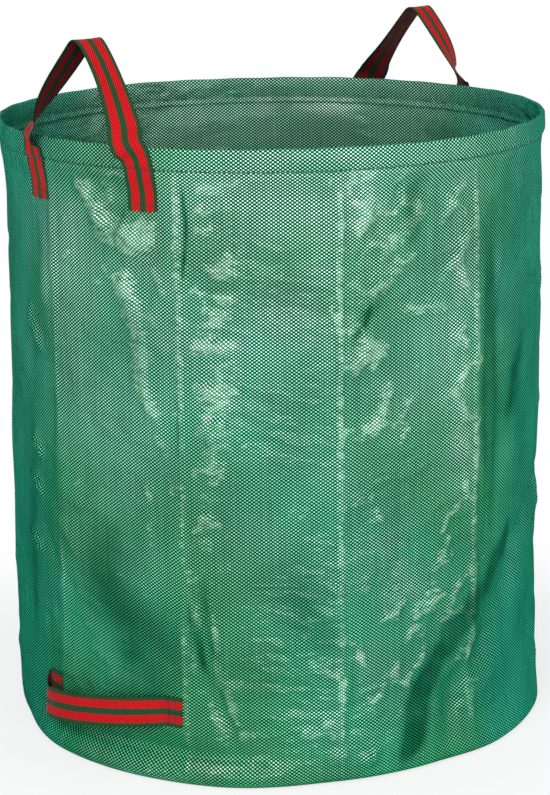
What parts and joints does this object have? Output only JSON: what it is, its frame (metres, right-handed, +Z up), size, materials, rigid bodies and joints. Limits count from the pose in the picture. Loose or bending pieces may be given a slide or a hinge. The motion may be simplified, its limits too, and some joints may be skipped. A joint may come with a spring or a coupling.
{
  "type": "pop up leaf bag",
  "caption": "Round self-standing pop-up garden leaf bag in green woven cloth, with red and green striped webbing carry loops and a low emptying handle.",
  "frame": {"origin": "centre of the round base's underside, on the floor", "axes": "+Z up out of the mouth; -Y towards the front, as the picture looks at it; +X to the picture's right"},
  "size_m": [0.6759, 0.6756, 0.8773],
  "materials": {
    "woven_cloth": "laminated plain weave, slightly glossy",
    "seam_tape": "matte woven tape",
    "hoop_plastic": "smooth extruded strip",
    "webbing": "matte woven webbing, red with green stripes"
  },
  "bodies": {
    "base": {"base_disc": "woven_cloth", "base_seam_tape": "seam_tape", "side_wall": "woven_cloth"},
    "rim": {"rim_hem": "woven_cloth", "rim_hoop": "hoop_plastic", "hoop_sleeve": "hoop_plastic", "front_handle_left_tab": "webbing", "front_handle_right_tab": "webbing", "rear_handle_left_tab": "webbing", "rear_handle_right_tab": "webbing"},
    "front_loop": {"front_handle_loop": "webbing"},
    "rear_loop": {"rear_handle_loop": "webbing"},
    "emptying_ends": {"emptying_handle_left_tab": "webbing", "emptying_handle_right_tab": "webbing"},
    "emptying_loop": {"emptying_handle_loop": "webbing"}
  },
  "joints": [
    {"name": "collapse", "type": "slide", "parent": "base", "child": "rim", "axis": [0, 0, -1], "range_m": [0, 0.55], "stiffness_N_per_m": 5, "springref_m": -0.36, "deforming": ["side_wall"]},
    {"name": "front_handle_swing", "type": "hinge", "parent": "rim", "child": "front_loop", "pos_m": [-0.21327, -0.25417, 0.772], "axis": [0.766, -0.6428, 0], "range_deg": [-90, 120], "stiffness_Nm_per_rad": 0.02},
    {"name": "rear_handle_swing", "type": "hinge", "parent": "rim", "child": "rear_loop", "pos_m": [0.19162, 0.27264, 0.772], "axis": [-0.8181, 0.575, 0], "range_deg": [-90, 120], "stiffness_Nm_per_rad": 0.02},
    {"name": "emptying_ends_sink", "type": "slide", "parent": "base", "child": "emptying_ends", "axis": [0, 0, -1], "range_m": [0, 0.034]},
    {"name": "emptying_handle_swing", "type": "hinge", "parent": "emptying_ends", "child": "emptying_loop", "pos_m": [-0.20361, -0.25051, 0.102], "axis": [-0.7752, 0.6296, -0.0526], "range_deg": [0, 60]}
  ],
  "couplings": [
    {"joint": "emptying_ends_sink", "follows": "collapse", "ratio": 0.06}
  ]
}
